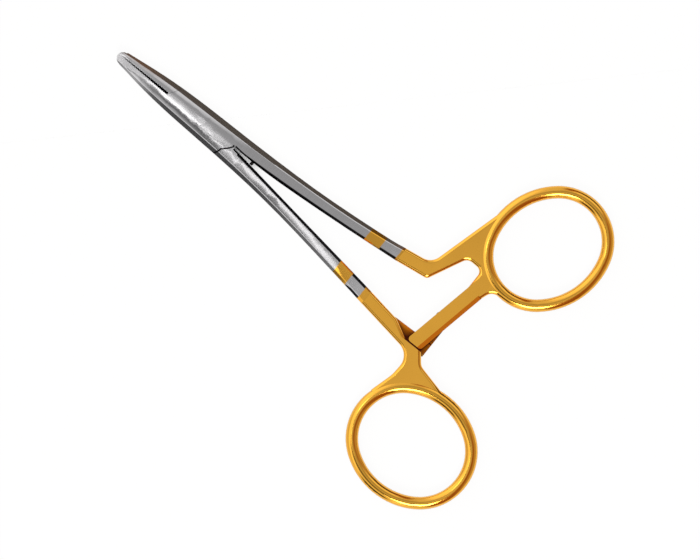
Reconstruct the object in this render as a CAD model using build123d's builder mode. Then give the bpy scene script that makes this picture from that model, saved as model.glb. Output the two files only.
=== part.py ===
"""Locking forceps with ring handles, a box lock and a ratchet, lying closed on a flat surface.

The instrument is two crossed halves, each forged from one piece of steel. The female half carries the
box, a slotted housing that the male half's thin neck passes through, and a riveted pin joins the two.
Ahead of the box are the serrated jaws. Behind it the shanks run back to two finger rings, and a
ratchet bar on the female half laps over another on the male half.

Frame, in millimetres: the origin is on the pivot axis, in the plane that the instrument rests on.
+X runs towards the jaw tips, +Y towards the male half's finger ring, and +Z up.
"""

import os
from collections import namedtuple
from math import atan2, cos, degrees, radians, sin, sqrt, tan

from build123d import *

# ---- overall -------------------------------------------------------------------------------------
thickness = 3.8                # box and handles, top to bottom
mid = thickness / 2            # height of the plane that the two halves share
jaw_reach = 24.9               # pivot to the tip of the jaws
handle_x = -56.0               # where the shanks end and the handles begin
clear_of_body = 12.0           # how far from the centre line the cutting outlines reach

# ---- box lock ------------------------------------------------------------------------------------
# A seam runs out from the centre line at reach, and turns into an arc about the pivot at radius.
Seam = namedtuple("Seam", "end radius reach gap")
front_seam = Seam(end=1, radius=8.9, reach=10.0, gap=0.06)
rear_seam = Seam(end=-1, radius=7.9, reach=9.5, gap=0.2)
seam_turn = 15.0               # degrees from the centre line at which a seam turns into its arc
seam_end = 60.0                # degrees from the centre line at which the arc ends, clear of the body
slot_height = 1.3              # slot through the box, lower than the box's side walls
neck_play = 0.03               # above and below the neck
neck_boss = 2.5                # radius of the neck round the pin
neck_arm = 62.0                # degrees that each arm of the neck fills
neck_slack = 1.2               # degrees between the neck and the rails of the slot
boss_play = 0.07               # between the neck's boss and the rails
open_limit = 35.0              # degrees that the halves open
pin_radius = 1.0
pin_play = 0.04                # between the pin and the neck

# ---- jaws ----------------------------------------------------------------------------------------
nose_radius = 1.5
female_face = (0.12, -0.34)    # y of the gripping face at the heel and at the tip
male_face = (-0.42, -0.40)
tooth_pitch = 0.55
tooth_depth = 0.16
tooth_land = 0.03              # how far the cut between two teeth stops short of meeting the next
tooth_count = int((jaw_reach - front_seam.reach) / tooth_pitch) - 2

# ---- shanks --------------------------------------------------------------------------------------
inner_bevel = (0.42, 0.55)     # width and depth of the bevel along the shanks' inner edges
stop_from_box = 5.9            # closing stop, a pin let into the female shank behind the box
stop_radius = 0.4
stop_depth = 1.6
stop_play = 0.12               # between the stop and the male shank

# ---- handles -------------------------------------------------------------------------------------
# Outlines are given from the end of the shanks: x, y and the radius of the corner.
Ring = namedtuple("Ring", "x y long short tilt")
edge_round = 0.75
plate_drop = 0.3               # how far the faces of the handles lie within the finger rings'
ring_bar = 2.95                # width of a finger ring's bar
ring_round = 1.4               # radius that the flats along a ring's edges stand in for
half_flat = ring_round * tan(radians(90 / 8))        # half the width of each of its three flats
ring_flats = (ring_round * (2 - sqrt(2)), ring_round * tan(radians(90 / 4)) - half_flat)
female_ring = Ring(x=-25.85, y=-27.5, long=13.2, short=11.0, tilt=72.4)
male_ring = Ring(x=-29.8, y=28.15, long=13.05, short=11.35, tilt=0.0)
female_plate_end = (12.3, 16.4)    # x and y beyond which the plate's rim lies inside the ring
male_plate_end = 20.5

# ---- ratchet -------------------------------------------------------------------------------------
bar_gap = 0.05                 # from the shared plane to the tips of each bar's teeth
bar_thickness = mid - bar_gap - plate_drop
bar_width = 4.1
bar_lean = 11.3                # degrees that the female bar leans from the Y axis
bar_end = (-15.4, 9.5)         # middle of the female bar's end, from the end of the shanks
bar_root_y = -8.8              # where the female bar leaves its handle
bar_root_x = bar_end[0] - (bar_end[1] - bar_root_y) * tan(radians(bar_lean))
bar_corner = 0.8
bar_bevel = 1.0                # along the female bar's outer edge
shoulder_play = 0.4            # between the female bar's end and the male half's shoulder
shoulder_y = bar_end[1] + shoulder_play
male_bar_length = 10.3
ratchet_pitch = 2.3
ratchet_depth = 0.4
ratchet_slope = 1.6            # run of a tooth's sloping face
ratchet_start = 1.0            # from the end of the female bar to its first tooth
ratchet_count = 3
past_bars = 30.0               # from the end of the shanks to past the ratchet bars

# ---- the outer body, as cross sections along X ---------------------------------------------------
# A section is flat on top between the two inner edges. From there each side falls by crown to a
# ridge, and then by depth over the width of the bevel, which starts with a shallower lip. drop is
# how far the flat lies below the top.
lip = (0.18, 0.08)             # width and depth
female_wider = 1.18            # how much wider the bevels of the female side are
Station = namedtuple("Station", "x male_side female_side male_inner female_inner drop crown width depth")
stations = [
    Station(jaw_reach + 1.1, 1.35, -1.42, 0.50, -0.65, 0.95, 0.12, 0.50, 0.40),
    Station(0.7 * jaw_reach, 2.42, -2.49, 0.50, -0.65, 0.55, 0.18, 0.80, 0.60),
    Station(front_seam.reach, 3.19, -3.21, 0.50, -0.65, 0.15, 0.25, 1.05, 0.80),
    Station(0.0, 3.72, -3.62, 0.50, -0.65, 0.00, 0.25, 1.20, 0.90),
    Station(-0.5 - rear_seam.reach, 4.18, -3.73, 0.12, -0.25, 0.05, 0.25, 1.15, 0.85),
    Station(-20.0, 4.87, -3.93, 1.39, -0.12, 0.25, 0.25, 1.00, 0.75),
    Station(-30.0, 5.93, -4.31, 2.71, -0.75, 0.35, 0.22, 0.90, 0.70),
    Station(-40.0, 7.30, -5.02, 4.00, -1.57, 0.30, 0.18, 0.90, 0.70),
    Station(-48.0, 8.47, -5.79, 5.03, -2.35, 0.30, 0.12, 0.85, 0.72),
    Station(handle_x, 9.70, -6.87, 6.10, -3.17, plate_drop, 0.06, 0.75, 0.70),
]
shank_stations = [s for s in stations if s.x < -rear_seam.reach]


def body_section(s):
    """Outline of the body across the instrument at one station: local x is +Y and local y is +Z."""
    female_ridge = s.female_side + s.width * female_wider
    male_ridge = s.male_side - s.width
    for up in (1, -1):
        flat_z = mid + up * (mid - s.drop)
        ridge_z = flat_z - up * s.crown
        lip_z, side_z = ridge_z - up * lip[1], ridge_z - up * s.depth
        Polyline((s.female_side, side_z), (female_ridge - lip[0], lip_z), (female_ridge, ridge_z))
        TangentArc((s.female_inner, flat_z), (female_ridge, ridge_z), tangent=(-1, 0))
        Line((s.female_inner, flat_z), (s.male_inner, flat_z))
        TangentArc((s.male_inner, flat_z), (male_ridge, ridge_z), tangent=(1, 0))
        Polyline((male_ridge, ridge_z), (male_ridge + lip[0], lip_z), (s.male_side, side_z))
    wall = mid - s.drop - s.crown - s.depth
    for side in (s.female_side, s.male_side):
        Line((side, mid - wall), (side, mid + wall))


with BuildPart() as body:
    for station in stations:
        with BuildSketch(Plane.YZ.offset(station.x)):
            with BuildLine():
                body_section(station)
            make_face()
    loft()
    nose_x = jaw_reach - nose_radius
    with BuildSketch():
        with Locations((nose_x, 0)):
            Circle(nose_radius)
            Rectangle(nose_x - handle_x, 2 * clear_of_body, align=(Align.MAX, Align.CENTER))
    extrude(amount=thickness, mode=Mode.INTERSECT)


# ---- the plan of each half, from jaw to shank ----------------------------------------------------
def polar(radius, turn):
    return Vector(radius * cos(radians(turn)), radius * sin(radians(turn)))


def seam_line(seam, gap):
    """Draws a seam outwards from the centre line, and gives its two ends."""
    radius = seam.radius + gap
    inner = polar(seam.reach + gap, 0) * seam.end
    corner = polar(radius, -seam_turn) * seam.end
    halfway = polar(radius, -(seam_turn + seam_end) / 2) * seam.end
    outer = polar(radius, -seam_end) * seam.end
    Line(inner, corner)
    ThreePointArc(corner, halfway, outer)
    return inner, outer


def face_line(face, x):
    """Place on a gripping face, which is straight from the heel to the tip."""
    slope = (face[1] - face[0]) / (jaw_reach - front_seam.reach)
    return Vector(x, face[0] + slope * (x - front_seam.reach))


past_tip = jaw_reach + nose_radius
heel_x = front_seam.reach + front_seam.gap
female_edge = [(s.x, s.female_inner) for s in shank_stations]
male_edge = [(s.x, s.male_inner) for s in shank_stations]

with BuildPart() as female_trunk:
    with BuildSketch():
        with BuildLine():
            front, front_out = seam_line(front_seam, 0)
            rear, rear_out = seam_line(rear_seam, 0)
            Polyline(front, face_line(female_face, heel_x), face_line(female_face, past_tip),
                     (past_tip, clear_of_body), (rear_out.X, clear_of_body), rear_out)
            Line(rear, female_edge[0])
            Spline(*female_edge)
            Polyline(female_edge[-1], (handle_x, -clear_of_body), (front_out.X, -clear_of_body), front_out)
        make_face()
    extrude(amount=thickness)
    add(body.part, mode=Mode.INTERSECT)

with BuildPart() as male_trunk:
    with BuildSketch():
        with BuildLine():
            front, front_out = seam_line(front_seam, front_seam.gap)
            Polyline(front, face_line(male_face, heel_x), face_line(male_face, past_tip),
                     (past_tip, -clear_of_body), (front_out.X, -clear_of_body), front_out)
        make_face()
        with BuildLine():
            rear, rear_out = seam_line(rear_seam, rear_seam.gap)
            Line(rear, male_edge[0])
            Spline(*male_edge)
            Polyline(male_edge[-1], (handle_x, clear_of_body), (rear_out.X, clear_of_body), rear_out)
        make_face()
    extrude(amount=thickness)
    add(body.part, mode=Mode.INTERSECT)


# ---- bevels along the inner edges of the shanks --------------------------------------------------
def bevel_section(inner_y, flat_z, outwards, up):
    """Triangle that a bevel takes off a shank's corner, drawn half as far again past the corner."""
    width, depth = inner_bevel
    near, far = inner_y - outwards * width / 2, inner_y + outwards * width * 1.5
    above, below = flat_z + up * depth / 2, flat_z - up * depth * 1.5
    Polygon((near, below), (near, above), (far, above), align=None)


def bevel(inner, outwards, up):
    """Cutter for one inner edge: inner names the edge, outwards is its half's side and up its face."""
    with BuildPart() as cutter:
        for s in shank_stations:
            with BuildSketch(Plane.YZ.offset(s.x)):
                bevel_section(getattr(s, inner), mid + up * (mid - s.drop), outwards, up)
        loft()
    return cutter.part


# ---- handles: a plate each, with a finger ring let into it ---------------------------------------
def from_shank(x, y):
    return Vector(handle_x + x, y)


def oval(ring, grow):
    """A finger ring's hole, grown by the given amount: four tangent arcs."""
    nose = (ring.short * ring.short / ring.long + ring.short) / 2
    nose_at = ring.long - nose
    flank = (nose_at ** 2 + ring.short ** 2 - nose ** 2) / (2 * (ring.short - nose))
    flank_at = flank - ring.short
    turn = degrees(atan2(flank_at, nose_at))
    with BuildSketch(Plane(from_shank(ring.x, ring.y), x_dir=polar(1, ring.tilt))) as hole:
        with BuildLine():
            CenterArc((nose_at, 0), nose + grow, -turn, 2 * turn)
            CenterArc((0, -flank_at), flank + grow, turn, 180 - 2 * turn)
            CenterArc((-nose_at, 0), nose + grow, 180 - turn, 2 * turn)
            CenterArc((0, flank_at), flank + grow, 180 + turn, 180 - 2 * turn)
        make_face()
    return hole.sketch


def finger_ring(ring):
    """Finger ring, with each edge rounded in three flats, which need far fewer triangles than a fillet."""
    outside, inside = oval(ring, ring_bar), oval(ring, 0)
    with BuildPart() as whole:
        with BuildSketch():
            add(outside)
            add(inside, mode=Mode.SUBTRACT)
        extrude(amount=thickness)
        for flat in ring_flats:
            chamfer(whole.edges().filter_by(GeomType.CIRCLE).filter_by(Plane.XY), flat)
    return whole.part


def handle(outline, ring, *kept_sharp):
    """A handle's plate with its rim rounded, save at the places kept sharp, and its finger ring."""
    places = [from_shank(x, y) for x, y, _ in outline]
    ring_part, ring_middle = finger_ring(ring), oval(ring, ring_bar / 2)
    with BuildPart() as whole:
        with BuildSketch(Plane.XY.offset(plate_drop)) as plate:
            with BuildLine():
                Polyline(*places, close=True)
            make_face()
            for place, (_, _, radius) in zip(places, outline):
                if radius:
                    fillet(plate.vertices().sort_by_distance(place)[0], radius)
        extrude(amount=thickness - 2 * plate_drop)
        rim = whole.edges().filter_by(Plane.XY)
        fillet([e for e in rim if not any(sharp(e.position_at(0.5)) for sharp in kept_sharp)], edge_round)
        with BuildSketch():
            add(ring_middle)
        extrude(amount=thickness, mode=Mode.SUBTRACT)
        add(ring_part)
    return whole.part


def at_shank(place):
    return place.X > handle_x - edge_round / 2


last = stations[-1]
female_outline = [
    (0, last.female_side, 0), (-6.7, -7.95, 3.5), (-12.1, -27.8, 0), (female_ring.x, female_ring.y, 0),
    (-28.5, -13.4, 0), (-21.9, -11.1, 2.2), (bar_root_x - bar_width / 2, bar_root_y, 0),
    (bar_root_x + bar_width / 2, bar_root_y, 0), (-17.0, -13.9, 1.5), (-12.8, -14.0, 2.0),
    (-8.2, -4.4, 1.2), (0, last.female_inner, 0),
]
female_handle = handle(
    female_outline, female_ring, at_shank, lambda place: abs(place.Y - bar_root_y) < bar_gap,
    lambda place: place.X < handle_x - female_plate_end[0] and place.Y < -female_plate_end[1])

male_outline = [
    (0, last.male_side, 0), (-16.2, 12.05, 3.8), (-15.9, 18.2, 8.0), (-14.3, 24.0, 0),
    (male_ring.x, male_ring.y, 0), (-31.0, 15.0, 0), (-24.5, 13.45, 0), (-20.0, 12.4, 2.5),
    (-17.95, shoulder_y, 0), (-13.6, shoulder_y, 0), (-8.5, 7.35, 0), (0, last.male_inner, 0),
]
male_handle = handle(
    male_outline, male_ring, at_shank, lambda place: abs(place.Y - shoulder_y) < bar_gap,
    lambda place: place.Y > male_plate_end)


# ---- ratchet bars --------------------------------------------------------------------------------
def tooth_gaps(first_y, side):
    """Gaps between ratchet teeth, side on: local x is +Y and local y is +Z.

    side is 1 for the female bar, whose gaps are cut upwards, and -1 for the male bar. The steep faces
    of the two sets face each other, so they catch as the halves are drawn apart.
    """
    for tooth in range(ratchet_count):
        y = first_y - tooth * ratchet_pitch
        steep_top = (y, mid + side * (bar_gap + ratchet_depth))
        Polygon((y, mid), steep_top, (y - side * ratchet_slope, mid), align=None)


with BuildPart() as female_bar:
    half = Vector(bar_width / 2, 0)
    head = from_shank(*bar_end)
    length = bar_end[1] - bar_root_y + bar_width
    foot = head - Vector(tan(radians(bar_lean)), 1) * length
    bar_corners = (head - half, head + half, foot + half, foot - half)
    with BuildSketch(Plane.XY.offset(mid + bar_gap)):
        Polygon(*bar_corners, align=None)
    extrude(amount=bar_thickness)
    long_edges = female_bar.edges().group_by(Axis.Z)[-1].filter_by(lambda edge: edge.length > length)
    chamfer(long_edges.sort_by(Axis.X)[0], bar_bevel)
    with BuildSketch() as outline:
        Polygon(*bar_corners, align=None)
        fillet(outline.vertices().group_by(Axis.Y)[-1], bar_corner)
    extrude(amount=thickness, mode=Mode.INTERSECT)
    with BuildSketch(Plane.YZ.offset(handle_x)):
        tooth_gaps(bar_end[1] - ratchet_start, 1)
    extrude(amount=-past_bars, mode=Mode.SUBTRACT)

male_bar_foot = shoulder_y - male_bar_length
male_bar_crook = (-15.1, 7.0)
male_bar_outline = [(-10.0, 9.3), (-18.8, 10.6), (-18.8, male_bar_foot), (male_bar_crook[0], male_bar_foot),
                    male_bar_crook, (-8.0, 7.2)]
with BuildPart() as male_bar:
    with BuildSketch(Plane.XY.offset(plate_drop)) as outline:
        with BuildLine():
            Polyline(*[from_shank(x, y) for x, y in male_bar_outline], close=True)
        make_face()
        fillet(outline.vertices().group_by(Axis.Y)[0], bar_corner)
        fillet(outline.vertices().sort_by_distance(from_shank(*male_bar_crook))[0], 2 * bar_corner)
    extrude(amount=bar_thickness)
    with BuildSketch(Plane.YZ.offset(handle_x)):
        tooth_gaps(bar_end[1] - ratchet_start - ratchet_slope, -1)
    extrude(amount=-past_bars, mode=Mode.SUBTRACT)


# ---- box lock: the slot, the neck and the pin ----------------------------------------------------
def opposite_sectors(start, turn):
    """Two opposite sectors about the pivot, out past the body."""
    for opposite in (0, 180):
        rim = [polar(clear_of_body, start + opposite + turn * part / 4) for part in range(5)]
        Polygon((0, 0), *rim, align=None)


slot_floor = mid - slot_height / 2
with BuildPart() as slot:
    with BuildSketch(Plane.XY.offset(slot_floor)):
        opposite_sectors(neck_slack, -(neck_arm + open_limit + 2 * neck_slack))
        Circle(neck_boss + boss_play)
    extrude(amount=slot_height)

with BuildPart() as neck:
    with BuildSketch(Plane.XY.offset(slot_floor + neck_play)):
        opposite_sectors(0, -neck_arm)
        Circle(neck_boss)
        Circle(pin_radius + pin_play, mode=Mode.SUBTRACT)
    extrude(amount=slot_height - 2 * neck_play)
    with BuildSketch():
        Circle(front_seam.radius + 2 * front_seam.gap)
    extrude(amount=thickness, mode=Mode.INTERSECT)
    add(body.part, mode=Mode.INTERSECT)

with BuildPart() as box_lock_pin:
    with BuildSketch():
        Circle(pin_radius)
    extrude(amount=thickness)
    add(body.part, mode=Mode.INTERSECT)

stop_x = -rear_seam.reach - stop_from_box
near, far = shank_stations[0], shank_stations[1]
male_wall_y = near.male_inner + (far.male_inner - near.male_inner) * (stop_x - near.x) / (far.x - near.x)
with BuildPart() as stop_pin:
    with BuildSketch(Plane.XZ.offset(stop_play - male_wall_y)):
        with Locations((stop_x, mid)):
            Circle(stop_radius)
    extrude(amount=male_wall_y - stop_play + stop_depth)


# ---- the two halves ------------------------------------------------------------------------------
def serrations(face, into, first_x):
    """Serrations across a gripping face, seen from above. into is the way that they are cut, 1 or -1."""
    half = Vector(tooth_pitch / 2, 0)
    root, tip = Vector(0, into * tooth_depth), Vector(0, -into * tooth_land)
    zigzag = [face_line(face, first_x) - half + tip]
    for tooth in range(tooth_count):
        middle = face_line(face, first_x + tooth * tooth_pitch)
        zigzag += [middle + root, middle + half + tip]
    Polygon(zigzag[0] - root, *zigzag, zigzag[-1] - root, align=None)


female_bevels = [bevel("female_inner", -1, up) for up in (1, -1)]
with BuildPart() as female_half:
    add(female_trunk.part)
    for cutter in female_bevels:
        add(cutter, mode=Mode.SUBTRACT)
    add(slot.part, mode=Mode.SUBTRACT)
    add(box_lock_pin.part, mode=Mode.SUBTRACT)
    add(stop_pin.part, mode=Mode.SUBTRACT)
    with BuildSketch():
        serrations(female_face, 1, heel_x + tooth_pitch)
    extrude(amount=thickness, mode=Mode.SUBTRACT)
    add(female_handle)
    add(female_bar.part)

male_bevels = [bevel("male_inner", 1, up) for up in (1, -1)]
with BuildPart() as male_half:
    add(male_trunk.part)
    for cutter in male_bevels:
        add(cutter, mode=Mode.SUBTRACT)
    add(neck.part)
    with BuildSketch():
        serrations(male_face, -1, heel_x + tooth_pitch / 2)
    extrude(amount=thickness, mode=Mode.SUBTRACT)
    add(male_handle)
    add(male_bar.part)

# ---- the four pieces -----------------------------------------------------------------------------
os.makedirs("parts", exist_ok=True)
pieces = {
    "female_half": female_half, "male_half": male_half, "box_lock_pin": box_lock_pin, "stop_pin": stop_pin,
}
for name, piece in pieces.items():
    piece.part.label = name
    export_step(piece.part, f"parts/{name}.step")
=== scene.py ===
"""Ring-handled locking forceps: satin steel jaws and shanks with gold-plated handles, on a pale table.

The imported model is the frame: its two halves and two pins keep their shapes and get their finishes here.
Everything is in metres, in the frame's own axes: +X to the jaw tips, +Y to the male half's ring, +Z up.
"""
from math import cos, pi, radians, sin

import bpy
from mathutils import Matrix, Vector


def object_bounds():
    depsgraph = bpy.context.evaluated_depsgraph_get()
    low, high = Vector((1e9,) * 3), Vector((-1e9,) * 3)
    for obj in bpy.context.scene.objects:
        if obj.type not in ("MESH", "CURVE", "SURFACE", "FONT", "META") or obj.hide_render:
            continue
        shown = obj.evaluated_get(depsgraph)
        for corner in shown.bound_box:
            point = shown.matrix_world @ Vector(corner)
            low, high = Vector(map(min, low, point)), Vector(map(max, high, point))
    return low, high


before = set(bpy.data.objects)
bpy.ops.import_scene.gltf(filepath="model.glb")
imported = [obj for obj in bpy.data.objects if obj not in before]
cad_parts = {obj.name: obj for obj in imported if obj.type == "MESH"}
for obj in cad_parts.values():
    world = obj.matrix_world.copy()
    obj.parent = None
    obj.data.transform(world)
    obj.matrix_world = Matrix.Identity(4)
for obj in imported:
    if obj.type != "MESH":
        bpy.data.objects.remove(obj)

bl_info = {
    "name": "Locking Forceps",
    "version": (1, 0, 0),
    "blender": (4, 5, 0),
    "location": "View3D > Sidebar > Forceps",
    "description": "Finishes a pair of locking forceps and sets the table, lights and camera round it",
    "category": "Object",
}

CAD_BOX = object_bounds()
CENTRE = (Vector(CAD_BOX[0]) + Vector(CAD_BOX[1])) / 2

# The bands of plating, by x: the narrow one goes from Near to Far, and Handle is where the rest begins.
FEMALE_PLATING = {"Near": -0.0467, "Far": -0.0508, "Handle": -0.0552}
MALE_PLATING = {"Near": -0.0457, "Far": -0.0498, "Handle": -0.0541}

# The inner edges of the shanks, as the Inner Edge effect takes them: along each runs a band of painted shade,
# for the dark that these edges reflect. Side is where the steel lies.
FEMALE_EDGE = {"Lead": 0.00064, "Slope": 0.0213, "Bend": -0.835, "Side": -1.0, "Width": 0.00075}
MALE_EDGE = {"Lead": -0.00117, "Slope": -0.1297, "Bend": 0.0, "Side": 1.0, "Width": 0.00072}

FEMALE_BAR = (-0.066, -0.0088)             # behind this x, all past this y is the female half's ratchet bar, whose bevel gets painted shade
MALE_BAR = (-0.0645, 0.0100, 0.0019)       # behind this x, all below this y and z is the male half's ratchet bar, which gets painted shade

# How far the recesses reach, and how closed and how open they are, where shade is painted into the steel and
# into the plating.
STEEL_RECESS = {"Reach": 0.0008, "Shut": 0.1, "Open": 0.45}
GOLD_RECESS = {"Reach": 0.0022, "Shut": 0.5, "Open": 0.88}
PAINTED_SHADE = (0.012, 0.011, 0.012, 1)           # painted shade: the near-black laid in the steel's seams, recesses and inner edges, and on the stop pin
# the deep red of the painted shade in the plating's recesses
GOLD_PAINTED_SHADE = (0.08, 0.01, 0.005, 1)
CLOUDED = 0.86                             # how bright the plating is where it is cloudiest
GOLD_MARKS = 0.25                          # depth of the marks in the plating, as a share of the steel's
UNEVENNESS = 0.02                          # how much the roughness differs from patch to patch
SHADE = (0.34, 0.14, 0.05)                 # the warm dark side of the studio

TABLE_SIZE = 12.0
TABLE_BELOW = 0.00002                      # how far the table lies below the underside
TABLE_GAPS = {"Shut": (0.05, 0.30), "Open": (0.15, 0.50)}      # painted shadow in the table's gaps: behind the pivot, and between the jaws
JAWS_FROM_X = 0.005                        # where the second of these is reached


# ---- node helpers --------------------------------------------------------------------------------
def add(tree, kind, inputs=None, **settings):
    """A new node with its settings and its unlinked inputs filled in."""
    node = tree.nodes.new(kind)
    for name, value in settings.items():
        setattr(node, name, value)
    for name, value in (inputs or {}).items():
        node.inputs[name].default_value = value
    return node


def link(tree, source, target):
    tree.links.new(source, target)


def maths(tree, operation, first, second=None, third=None, clamp=False):
    """A Math node whose inputs are sockets or numbers."""
    node = add(tree, "ShaderNodeMath", operation=operation, use_clamp=clamp)
    for index, value in enumerate((first, second, third)):
        if value is None:
            continue
        if isinstance(value, (int, float)):
            node.inputs[index].default_value = value
        else:
            link(tree, value, node.inputs[index])
    return node.outputs[0]


def blend(tree, kind, places, mask, ends):
    """A Mix node that goes from one end to the other as the mask goes from 0 to 1."""
    node = add(tree, "ShaderNodeMix", data_type=kind)
    link(tree, mask, node.inputs["Factor"])
    for index, value in zip(places, ends):
        if isinstance(value, bpy.types.NodeSocket):
            link(tree, value, node.inputs[index])
        else:
            node.inputs[index].default_value = value
    return node


def blend_colour(tree, mask, first, second):
    return blend(tree, "RGBA", (6, 7), mask, (first, second)).outputs[2]


def blend_value(tree, mask, first, second):
    return blend(tree, "FLOAT", (2, 3), mask, (first, second)).outputs[0]


def own_place(tree):
    """The place in the piece's own axes, as a vector and as its x, y and z."""
    place = add(tree, "ShaderNodeTexCoord").outputs["Object"]
    split = add(tree, "ShaderNodeSeparateXYZ")
    link(tree, place, split.inputs[0])
    return place, split.outputs


def levelness(tree):
    """How level a face lies in the piece's own axes: 1 when flat and 0 when upright."""
    shape = add(tree, "ShaderNodeNewGeometry")
    own = add(tree, "ShaderNodeVectorTransform",
              vector_type="NORMAL", convert_from="WORLD", convert_to="OBJECT")
    link(tree, shape.outputs["True Normal"], own.inputs[0])
    split = add(tree, "ShaderNodeSeparateXYZ")
    link(tree, own.outputs[0], split.inputs[0])
    return maths(tree, "ABSOLUTE", split.outputs["Z"])


def effect_group(title, inputs, outputs):
    """An empty shader node group with float inputs and outputs, and its two end nodes."""
    group = bpy.data.node_groups.new(title, "ShaderNodeTree")
    for name, value in inputs.items():
        socket = group.interface.new_socket(name, in_out="INPUT", socket_type="NodeSocketFloat")
        socket.default_value = value
    for socket in outputs:
        group.interface.new_socket(socket, in_out="OUTPUT", socket_type="NodeSocketFloat")
    return group, group.nodes.new("NodeGroupInput"), group.nodes.new("NodeGroupOutput")


def shared_group(name, maker):
    return bpy.data.node_groups.get(name) or maker()


def effect(tree, name, maker, inputs=None):
    """A node of a shared effect, which is made when it is first asked for."""
    return add(tree, "ShaderNodeGroup", inputs, node_tree=shared_group(name, maker))


# ---- shared effects ------------------------------------------------------------------------------
def plating_group():
    """Mask of the gold plating: a band from Near to Far along a shank, and all beyond Handle.

    Its edges wander by up to Wander.
    """
    group, given, out = effect_group(
        "Gold Plating", {**MALE_PLATING, "Fade": 0.00025, "Wander": 0.0003}, ["Mask"])
    place, at = own_place(group)
    wander = add(group, "ShaderNodeTexNoise", {"Scale": 900.0, "Detail": 2.0})
    link(group, place, wander.inputs["Vector"])
    along = maths(group, "MULTIPLY_ADD", wander.outputs["Fac"], given.outputs["Wander"], at["X"])

    def behind(edge):
        past = maths(group, "SUBTRACT", edge, along)
        return maths(group, "DIVIDE", past, given.outputs["Fade"], clamp=True)

    band = maths(group, "SUBTRACT", behind(given.outputs["Near"]), behind(given.outputs["Far"]))
    link(group, maths(group, "ADD", band, behind(given.outputs["Handle"]), clamp=True), out.inputs["Mask"])
    return group


def brushing_group():
    """Fine straight marks from polishing across the instrument, and a slower unevenness."""
    group, given, out = effect_group("Brushing", {"Fineness": 3500.0, "Length": 14.0}, ["Marks", "Patches"])
    place = add(group, "ShaderNodeTexCoord")
    stretch = add(group, "ShaderNodeVectorMath", operation="MULTIPLY")
    scale = add(group, "ShaderNodeCombineXYZ", {"X": 1.0})
    link(group, maths(group, "DIVIDE", 1.0, given.outputs["Length"]), scale.inputs["Y"])
    link(group, maths(group, "DIVIDE", 1.0, given.outputs["Length"]), scale.inputs["Z"])
    link(group, place.outputs["Object"], stretch.inputs[0])
    link(group, scale.outputs[0], stretch.inputs[1])
    marks = add(group, "ShaderNodeTexNoise", {"Detail": 4.0, "Roughness": 0.6})
    link(group, stretch.outputs[0], marks.inputs["Vector"])
    link(group, given.outputs["Fineness"], marks.inputs["Scale"])
    patches = add(group, "ShaderNodeTexNoise", {"Scale": 160.0, "Detail": 3.0})
    link(group, place.outputs["Object"], patches.inputs["Vector"])
    link(group, marks.outputs["Fac"], out.inputs["Marks"])
    link(group, patches.outputs["Fac"], out.inputs["Patches"])
    return group


def recess_group():
    """How open a place is: 0 down a seam or a narrow gap, 1 out in the open."""
    group, given, out = effect_group("Recesses", STEEL_RECESS, ["Openness"])
    nearby = add(group, "ShaderNodeAmbientOcclusion")
    link(group, given.outputs["Reach"], nearby.inputs["Distance"])
    spread = add(group, "ShaderNodeMapRange")
    link(group, nearby.outputs["AO"], spread.inputs["Value"])
    link(group, given.outputs["Shut"], spread.inputs["From Min"])
    link(group, given.outputs["Open"], spread.inputs["From Max"])
    link(group, spread.outputs["Result"], out.inputs["Openness"])
    return group


def seam_group():
    """Mask of the line of painted shade where the halves meet: an arc about the pivot, at Reach on the centre
    line.
    """
    group, given, out = effect_group(
        "Seam Line",
        {"End": -1.0, "Radius": 0.0080, "Reach": 0.0096, "First": -0.05, "Turn": radians(15),
         "Last": radians(60), "Width": 0.00028},
        ["Mask"])
    _, at = own_place(group)
    end = given.outputs["End"]
    along = maths(group, "MULTIPLY", at["X"], end)
    aside = maths(group, "MULTIPLY", maths(group, "MULTIPLY", at["Y"], end), -1.0)
    bearing = maths(group, "ARCTAN2", aside, along)
    from_pivot = maths(group, "SQRT", maths(group, "ADD", maths(group, "POWER", along, 2.0),
                                            maths(group, "POWER", aside, 2.0)))
    turned = maths(group, "DIVIDE", bearing, given.outputs["Turn"], clamp=True)
    line = blend_value(group, turned, given.outputs["Reach"], given.outputs["Radius"])
    off = maths(group, "ABSOLUTE", maths(group, "SUBTRACT", from_pivot, line))
    near = maths(group, "SUBTRACT", 1.0, maths(group, "DIVIDE", off, given.outputs["Width"]), clamp=True)
    begun = maths(group, "GREATER_THAN", bearing, given.outputs["First"])
    going = maths(group, "LESS_THAN", bearing, given.outputs["Last"])
    mask = maths(group, "MULTIPLY", maths(group, "MULTIPLY", near, begun), going)
    link(group, maths(group, "MULTIPLY", mask, 2.0, clamp=True), out.inputs["Mask"])
    return group


def inner_edge_group():
    """Mask of a band of painted shade along a shank's inner edge, whose y is Lead + Slope x + Bend x squared.

    Faces whose normal's z is under Upright, such as the side walls, stay clear of it.
    """
    group, given, out = effect_group(
        "Inner Edge",
        {"Lead": 0.0, "Slope": 0.0, "Bend": 0.0, "Side": 1.0, "Width": 0.0006, "Fade": 0.00012,
         "Box": -0.0115, "Upright": 0.3},
        ["Mask"])
    _, at = own_place(group)
    slope = maths(group, "MULTIPLY_ADD", at["X"], given.outputs["Bend"], given.outputs["Slope"])
    curve = maths(group, "MULTIPLY_ADD", slope, at["X"], given.outputs["Lead"])
    inwards = maths(group, "MULTIPLY", maths(group, "SUBTRACT", at["Y"], curve), given.outputs["Side"])
    short = maths(group, "SUBTRACT", given.outputs["Width"], inwards)
    band = maths(group, "DIVIDE", short, given.outputs["Fade"], clamp=True)
    behind = maths(group, "LESS_THAN", at["X"], given.outputs["Box"])
    level = maths(group, "GREATER_THAN", levelness(group), given.outputs["Upright"])
    link(group, maths(group, "MULTIPLY", maths(group, "MULTIPLY", band, behind), level), out.inputs["Mask"])
    return group


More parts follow.
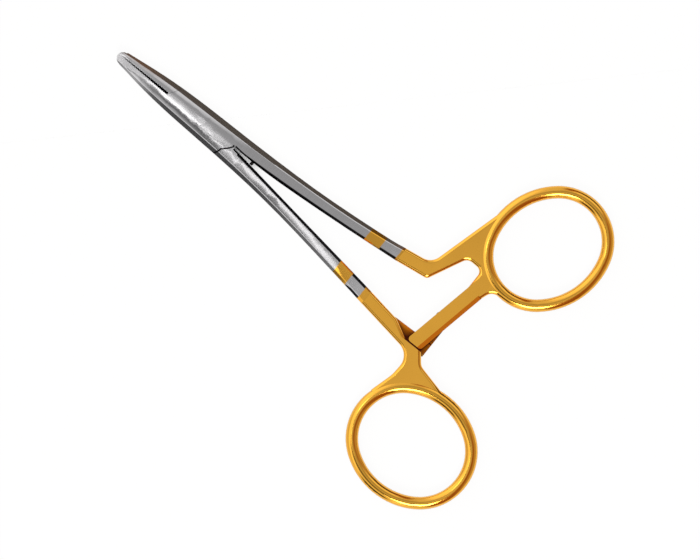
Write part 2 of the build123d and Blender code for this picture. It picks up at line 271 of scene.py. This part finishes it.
def edge_group():
    """Mask of the faces that lean between Shallow and Steep from level, such as the shanks' inner bevels,
    where shade is painted.
    """
    limits = {"Shallow": radians(46), "Steep": radians(62)}
    group, given, out = effect_group("Leaning Faces", limits, ["Mask"])
    lean = maths(group, "ARCCOSINE", levelness(group))
    past = maths(group, "GREATER_THAN", lean, given.outputs["Shallow"])
    short = maths(group, "LESS_THAN", lean, given.outputs["Steep"])
    link(group, maths(group, "MULTIPLY", past, short), out.inputs["Mask"])
    return group


def grey(level):
    return level if isinstance(level, tuple) else (level, level, level)


def level_ramp(tree, source, stops):
    """Level or colour that goes through the stops, each at its place, as the source goes from -1 to 1."""
    ramp = add(tree, "ShaderNodeValToRGB")
    link(tree, maths(tree, "MULTIPLY_ADD", source, 0.5, 0.5), ramp.inputs[0])
    elements = ramp.color_ramp.elements
    for place, level in stops:
        elements.new((place + 1) / 2).color = (*grey(level), 1)
    for end in (0, -1):
        elements[end].color = (*grey(stops[end][1]), 1)
    return ramp.outputs["Color"]


# ---- materials -----------------------------------------------------------------------------------
def new_material(name):
    material = bpy.data.materials.new(name)
    material.use_nodes = True
    tree = material.node_tree
    tree.nodes.clear()
    shader = add(tree, "ShaderNodeBsdfPrincipled")
    out = add(tree, "ShaderNodeOutputMaterial")
    link(tree, shader.outputs[0], out.inputs["Surface"])
    return material, tree, shader


def female_bar_painted_shade(tree, tone, finish):
    """Paints shade on the bevel of the female half's ratchet bar, for the dark it reflects there."""
    _, at = own_place(tree)
    behind = maths(tree, "LESS_THAN", at["X"], FEMALE_BAR[0])
    past = maths(tree, "GREATER_THAN", at["Y"], FEMALE_BAR[1])
    leaning = effect(tree, "Leaning Faces", edge_group, {"Shallow": radians(35), "Steep": radians(55)})
    bevel = maths(tree, "MULTIPLY", maths(tree, "MULTIPLY", behind, past), leaning.outputs["Mask"])
    return blend_colour(tree, bevel, tone, (*finish.bevel, 1))


def male_bar_painted_shade(tree, tone, finish):
    """Paints shade over the whole of the male half's ratchet bar, which lies lower than its handle."""
    _, at = own_place(tree)
    behind, below, low = (maths(tree, "LESS_THAN", at[axis], limit) for axis, limit in zip("XYZ", MALE_BAR))
    bar = maths(tree, "MULTIPLY", maths(tree, "MULTIPLY", behind, below), low)
    return blend_colour(tree, bar, tone, (*finish.bevel, 1))


def shaded(colour, share=1.0):
    """The colour at a share of its brightness, with its alpha."""
    return (*(channel * share for channel in colour), 1)


def plated_steel(name, finish, bands, inner_edge, bar_painted_shade):
    """Satin steel with gold plating behind three places along a shank."""
    material, tree, shader = new_material(name)
    gold = effect(tree, "Gold Plating", plating_group, bands).outputs["Mask"]
    brushing = effect(tree, "Brushing", brushing_group)
    marks, patches = brushing.outputs["Marks"], brushing.outputs["Patches"]
    recesses = effect(tree, "Recesses", recess_group)
    for socket in STEEL_RECESS:
        limit = blend_value(tree, gold, STEEL_RECESS[socket], GOLD_RECESS[socket])
        link(tree, limit, recesses.inputs[socket])

    # Painted shade: the leaning faces, the seam line and the shanks' inner edges go near black, for the dark
    # that the bevels reflect and the shade down the seam.
    dark = effect(tree, "Leaning Faces", edge_group).outputs["Mask"]
    seam = effect(tree, "Seam Line", seam_group)
    inner = effect(tree, "Inner Edge", inner_edge_group, inner_edge)
    for line in (seam, inner):
        dark = maths(tree, "MAXIMUM", dark, line.outputs["Mask"])
    steel = blend_colour(tree, marks, shaded(finish.steel, finish.marks_shade), shaded(finish.steel))
    steel = blend_colour(tree, dark, steel, PAINTED_SHADE)
    plating = blend_colour(tree, patches, shaded(finish.gold, CLOUDED), shaded(finish.gold))
    metal = blend_colour(tree, gold, steel, bar_painted_shade(tree, plating, finish))
    # Painted shade: the colour goes to the shade colour down seams and narrow gaps, where the recesses close
    # in.
    painted_shade_colour = blend_colour(tree, gold, PAINTED_SHADE, GOLD_PAINTED_SHADE)
    link(tree, blend_colour(tree, recesses.outputs["Openness"], painted_shade_colour, metal), shader.inputs["Base Color"])

    uneven = maths(tree, "MULTIPLY_ADD", patches, UNEVENNESS, -UNEVENNESS / 2)
    rough = maths(tree, "ADD", blend_value(tree, gold, finish.steel_roughness, finish.gold_roughness), uneven)
    link(tree, rough, shader.inputs["Roughness"])
    shader.inputs["Metallic"].default_value = 1.0
    depth = blend_value(tree, gold, finish.marks_depth, finish.marks_depth * GOLD_MARKS)
    bump = add(tree, "ShaderNodeBump", {"Strength": 1.0, "Distance": 1.0})
    link(tree, maths(tree, "MULTIPLY", marks, depth), bump.inputs["Height"])
    link(tree, bump.outputs[0], shader.inputs["Normal"])
    return material


def plain_steel(name, colour, roughness):
    """The steel of the pins."""
    material, _, shader = new_material(name)
    shader.inputs["Base Color"].default_value = (*colour, 1)
    shader.inputs["Metallic"].default_value = 1.0
    shader.inputs["Roughness"].default_value = roughness
    return material


def rounding_group():
    """Geometry nodes that join a mesh's loose faces and shade it smooth where it turns less than an angle."""
    group = bpy.data.node_groups.new("Smooth Flats", "GeometryNodeTree")
    group.interface.new_socket("Geometry", in_out="INPUT", socket_type="NodeSocketGeometry")
    for name, value in (("Body Angle", radians(10.5)), ("Handle Angle", radians(30)), ("Handle", -0.0555)):
        socket = group.interface.new_socket(name, in_out="INPUT", socket_type="NodeSocketFloat")
        socket.default_value = value
    group.interface.new_socket("Geometry", in_out="OUTPUT", socket_type="NodeSocketGeometry")
    given, out = group.nodes.new("NodeGroupInput"), group.nodes.new("NodeGroupOutput")
    merge = add(group, "GeometryNodeMergeByDistance", {"Distance": 0.000001})
    link(group, given.outputs["Geometry"], merge.inputs["Geometry"])
    faces = add(group, "GeometryNodeSetShadeSmooth", {"Shade Smooth": True}, domain="FACE")
    link(group, merge.outputs["Geometry"], faces.inputs["Geometry"])
    turn = add(group, "GeometryNodeInputMeshEdgeAngle")
    shallow = add(group, "FunctionNodeCompare", data_type="FLOAT", operation="LESS_THAN")
    link(group, turn.outputs["Unsigned Angle"], shallow.inputs[0])
    place = add(group, "GeometryNodeInputPosition")
    split = add(group, "ShaderNodeSeparateXYZ")
    link(group, place.outputs[0], split.inputs[0])
    behind = maths(group, "LESS_THAN", split.outputs["X"], given.outputs["Handle"])
    link(group, blend_value(group, behind, given.outputs["Body Angle"], given.outputs["Handle Angle"]),
         shallow.inputs[1])
    edges = add(group, "GeometryNodeSetShadeSmooth", domain="EDGE")
    link(group, faces.outputs["Geometry"], edges.inputs["Geometry"])
    link(group, shallow.outputs["Result"], edges.inputs["Shade Smooth"])
    link(group, edges.outputs["Geometry"], out.inputs["Geometry"])
    return group


def dress(node, material):
    """Gives a node's object one material in every slot, and shades the flats of its rims as rounds."""
    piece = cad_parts[node]
    slots = piece.data.materials
    if not slots:
        slots.append(material)
    for index in range(len(slots)):
        slots[index] = material
    rounding = piece.modifiers.new("Smooth Flats", "NODES")
    rounding.node_group = shared_group("Smooth Flats", rounding_group)
    weighted = piece.modifiers.new("Weighted Normals", "WEIGHTED_NORMAL")
    weighted.keep_sharp = True


# ---- settings ------------------------------------------------------------------------------------
class ForcepsFinish(bpy.types.PropertyGroup):
    """Colours and finishes of the metal."""
    steel: bpy.props.FloatVectorProperty(
        name="Steel", description="Colour of the bare steel", subtype="COLOR", size=3, min=0, max=1,
        default=(0.60, 0.59, 0.60))
    gold: bpy.props.FloatVectorProperty(
        name="Gold", description="Colour of the plating", subtype="COLOR", size=3, min=0, max=1,
        default=(0.94, 0.47, 0.06))
    # Painted shade: the darker colour laid on the female bar's bevel and over the whole male bar.
    bevel: bpy.props.FloatVectorProperty(
        name="Bar Painted Shade", description="Colour of the plating on one ratchet bar's bevel and on the other bar",
        subtype="COLOR", size=3, min=0, max=1, default=(0.55, 0.15, 0.006))
    steel_roughness: bpy.props.FloatProperty(
        name="Steel Roughness", description="Roughness of the satin steel", default=0.15, min=0, max=1,
        subtype="FACTOR")
    gold_roughness: bpy.props.FloatProperty(
        name="Gold Roughness", description="Roughness of the plated handles", default=0.12, min=0, max=1,
        subtype="FACTOR")
    marks_depth: bpy.props.FloatProperty(
        name="Marks Depth", description="Depth of the polishing marks", default=0.00000012, min=0,
        precision=8, unit="LENGTH")
    marks_shade: bpy.props.FloatProperty(
        name="Marks Shade", description="Brightness of the steel in its polishing marks", default=0.8, min=0,
        max=1, subtype="FACTOR")


class ForcepsStage(bpy.types.PropertyGroup):
    """Table, light and camera."""
    floor: bpy.props.FloatVectorProperty(
        name="Table", description="Colour of the table", subtype="COLOR", size=3, min=0, max=1,
        default=(0.95, 0.95, 0.95))
    floor_glow: bpy.props.FloatProperty(
        name="Table Glow", description="How far the table is seen as plain white", default=0.95, min=0, max=1,
        subtype="FACTOR")
    lens: bpy.props.FloatProperty(
        name="Lens", description="Focal length of the camera, in millimetres", default=300, min=20)
    view_width: bpy.props.FloatProperty(
        name="View Width", description="Width of table that the camera sees", default=0.1635, min=0.01,
        unit="LENGTH")
    roll: bpy.props.FloatProperty(
        name="Roll", description="Turn of the camera about its line of sight", default=radians(218.8),
        subtype="ANGLE", unit="ROTATION")
    aim: bpy.props.FloatVectorProperty(
        name="Aim", description="Point of the table at the middle of the view", subtype="TRANSLATION",
        default=(-0.05039, 0.00711, 0.0), size=3)


# ---- operators -----------------------------------------------------------------------------------
class FORCEPS_OT_female_half(bpy.types.Operator):
    """Finish the half that carries the box"""
    bl_idname = "forceps.female_half"
    bl_label = "Female Half"

    def execute(self, context):
        finish = context.scene.forceps_finish
        metal = plated_steel("Female half steel", finish, FEMALE_PLATING, FEMALE_EDGE, female_bar_painted_shade)
        dress("female_half", metal)
        return {"FINISHED"}


class FORCEPS_OT_male_half(bpy.types.Operator):
    """Finish the half that passes through the box"""
    bl_idname = "forceps.male_half"
    bl_label = "Male Half"

    def execute(self, context):
        finish = context.scene.forceps_finish
        metal = plated_steel("Male half steel", finish, MALE_PLATING, MALE_EDGE, male_bar_painted_shade)
        dress("male_half", metal)
        return {"FINISHED"}


class FORCEPS_OT_pins(bpy.types.Operator):
    """Finish the box lock's pin and the stop pin"""
    bl_idname = "forceps.pins"
    bl_label = "Pins"

    def execute(self, context):
        finish = context.scene.forceps_finish
        dress("box_lock_pin", plain_steel("Pin steel", finish.steel, finish.steel_roughness))
        # The stop pin takes the near-black of the painted shade, for the shade it sits in between the shanks.
        dress("stop_pin", plain_steel("Stop steel", PAINTED_SHADE[:3], finish.steel_roughness))
        return {"FINISHED"}


def soft_light(name, bearing, elevation, distance, size, strength, over=CENTRE):
    """A lamp that faces the place it stands over. Its strength is how bright it looks, with 1 as white."""
    data = bpy.data.lights.new(name, "AREA")
    data.shape = "RECTANGLE"
    data.size, data.size_y = size
    data.energy = strength * pi * size[0] * size[1]
    lamp = bpy.data.objects.new(name, data)
    bpy.context.scene.collection.objects.link(lamp)
    flat = Vector((cos(bearing), sin(bearing), 0))
    towards = flat * cos(elevation) + Vector((0, 0, sin(elevation)))
    lamp.location = over + towards * distance
    side = Vector((0, 0, 1)).cross(flat).normalized()
    up = towards.cross(side)
    lamp.matrix_world = Matrix.Translation(lamp.location) @ Matrix((side, up, towards)).transposed().to_4x4()
    lamp.visible_camera = False


def table_material(stage):
    """The table, seen as plain white save in the gaps of the forceps, where shadow is painted, darker between
    the jaws.
    """
    material, tree, shader = new_material("Table")
    shader.inputs["Roughness"].default_value = 0.9
    shader.inputs["Specular IOR Level"].default_value = 0.0
    rays = add(tree, "ShaderNodeLightPath")
    seen = maths(tree, "ADD", rays.outputs["Is Camera Ray"], rays.outputs["Is Glossy Ray"], clamp=True)
    seen = maths(tree, "ADD", seen, rays.outputs["Is Transmission Ray"], clamp=True)
    glow = add(tree, "ShaderNodeEmission", {"Color": (1, 1, 1, 1), "Strength": 1.0})
    gaps = effect(tree, "Recesses", recess_group, {"Reach": 0.004})
    _, at = own_place(tree)
    ahead = maths(tree, "MULTIPLY", at["X"], 1 / JAWS_FROM_X, clamp=True)
    for socket, (behind, between_jaws) in TABLE_GAPS.items():
        limit = maths(tree, "MULTIPLY_ADD", ahead, between_jaws - behind, behind)
        link(tree, limit, gaps.inputs[socket])
    # Painted shadow: the table goes black and stops glowing in the forceps' gaps.
    colour = blend_colour(tree, gaps.outputs["Openness"], (0.0, 0.0, 0.0, 1), (*stage.floor, 1))
    link(tree, colour, shader.inputs["Base Color"])
    mix = add(tree, "ShaderNodeMixShader")
    share = maths(tree, "MULTIPLY", seen, stage.floor_glow)
    link(tree, maths(tree, "MULTIPLY", share, gaps.outputs["Openness"]), mix.inputs[0])
    link(tree, shader.outputs[0], mix.inputs[1])
    link(tree, glow.outputs[0], mix.inputs[2])
    link(tree, mix.outputs[0], tree.nodes["Material Output"].inputs["Surface"])
    return material


def set_table(stage):
    mesh = bpy.data.meshes.new("Table")
    half, low = TABLE_SIZE / 2, CAD_BOX[0][2] - TABLE_BELOW
    corners = [(-half, -half, low), (half, -half, low), (half, half, low), (-half, half, low)]
    mesh.from_pydata(corners, [], [(0, 1, 2, 3)])
    mesh.materials.append(table_material(stage))
    table = bpy.data.objects.new("Table", mesh)
    bpy.context.scene.collection.objects.link(table)


def set_lamps(stage):
    """A large lamp from the near side, and two strips overhead whose reflections run along the steel."""
    towards_viewer = stage.roll + pi / 2 + pi
    soft_light("Front bank", towards_viewer, radians(55), 1.6, (0.5, 0.6), 12.0)
    soft_light("Box strip", pi / 2, pi / 2, 0.4, (0.073, 0.044), 2.4, Vector((0.0475, 0.032, 0)))
    soft_light("Shank strip", pi / 2, pi / 2, 0.4, (0.052, 0.026), 2.4, Vector((-0.015, 0.084, 0)))


def set_world(stage):
    """The studio: bands that change along Y over the forceps, and along the picture's width beyond."""
    world = bpy.data.worlds.new("Studio")
    world.use_nodes = True
    sky = world.node_tree
    sky.nodes.clear()
    place = add(sky, "ShaderNodeTexCoord").outputs["Generated"]
    split = add(sky, "ShaderNodeSeparateXYZ")
    link(sky, place, split.inputs[0])
    across = level_ramp(sky, split.outputs["Y"], [
        (-0.86, (0.12, 0.10, 0.08)), (-0.80, 1.10), (-0.60, 1.10), (-0.42, 0.75), (-0.36, 0.46),
        (-0.05, 0.50), (0.0, 0.84), (0.06, 0.60), (0.25, 0.15), (0.40, 0.15), (0.46, 0.50),
        (0.66, 1.00), (0.80, 1.00), (0.86, 0.08)])
    right = add(sky, "ShaderNodeVectorMath", operation="DOT_PRODUCT")
    right.inputs[1].default_value = (cos(stage.roll), sin(stage.roll), 0)
    link(sky, place, right.inputs[0])
    around = level_ramp(sky, right.outputs["Value"], [
        (-0.9, 0.8), (-0.65, 1.5), (-0.25, 1.3), (-0.1, 0.85), (0.1, 0.80), (0.2, SHADE), (0.5, SHADE),
        (0.8, (0.55, 0.45, 0.35))])
    beyond = level_ramp(sky, split.outputs["X"], [(-0.3, 1.0), (-0.15, 0.0), (0.15, 0.0), (0.3, 1.0)])
    background = add(sky, "ShaderNodeBackground")
    link(sky, blend_colour(sky, beyond, across, around), background.inputs["Color"])
    out = add(sky, "ShaderNodeOutputWorld")
    link(sky, background.outputs[0], out.inputs[0])
    bpy.context.scene.world = world


def set_camera(stage):
    """A camera straight overhead, as far off as its lens needs to see the view's width."""
    data = bpy.data.cameras.new("Camera")
    data.lens = stage.lens
    data.sensor_width = 36.0
    data.clip_end = 50
    camera = bpy.data.objects.new("Camera", data)
    bpy.context.scene.collection.objects.link(camera)
    distance = stage.view_width * data.lens / data.sensor_width
    camera.location = Vector(stage.aim) + Vector((0, 0, CAD_BOX[1][2] + distance))
    camera.rotation_euler = (0, 0, stage.roll)
    bpy.context.scene.camera = camera


class FORCEPS_OT_stage(bpy.types.Operator):
    """Set the table, the lights and the camera"""
    bl_idname = "forceps.stage"
    bl_label = "Stage"

    def execute(self, context):
        stage = context.scene.forceps_stage
        set_table(stage)
        set_lamps(stage)
        set_world(stage)
        set_camera(stage)
        context.scene.view_settings.view_transform = "Standard"
        return {"FINISHED"}


class FORCEPS_PT_panel(bpy.types.Panel):
    """The forceps' settings and steps"""
    bl_label = "Forceps"
    bl_idname = "FORCEPS_PT_panel"
    bl_space_type = "VIEW_3D"
    bl_region_type = "UI"
    bl_category = "Forceps"

    def draw(self, context):
        for settings in (context.scene.forceps_finish, context.scene.forceps_stage):
            column = self.layout.column()
            for name in settings.__annotations__:
                column.prop(settings, name)
        for operator in OPERATORS:
            self.layout.operator(operator.bl_idname)


OPERATORS = (FORCEPS_OT_female_half, FORCEPS_OT_male_half, FORCEPS_OT_pins, FORCEPS_OT_stage)
CLASSES = (ForcepsFinish, ForcepsStage, *OPERATORS, FORCEPS_PT_panel)


def register():
    for cls in CLASSES:
        bpy.utils.register_class(cls)
    bpy.types.Scene.forceps_finish = bpy.props.PointerProperty(type=ForcepsFinish)
    bpy.types.Scene.forceps_stage = bpy.props.PointerProperty(type=ForcepsStage)


def unregister():
    del bpy.types.Scene.forceps_stage
    del bpy.types.Scene.forceps_finish
    for cls in reversed(CLASSES):
        bpy.utils.unregister_class(cls)


def main():
    """Finishes every piece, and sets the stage."""
    register()
    bpy.ops.forceps.female_half()
    bpy.ops.forceps.male_half()
    bpy.ops.forceps.pins()
    bpy.ops.forceps.stage()


if __name__ == "__main__":
    main()
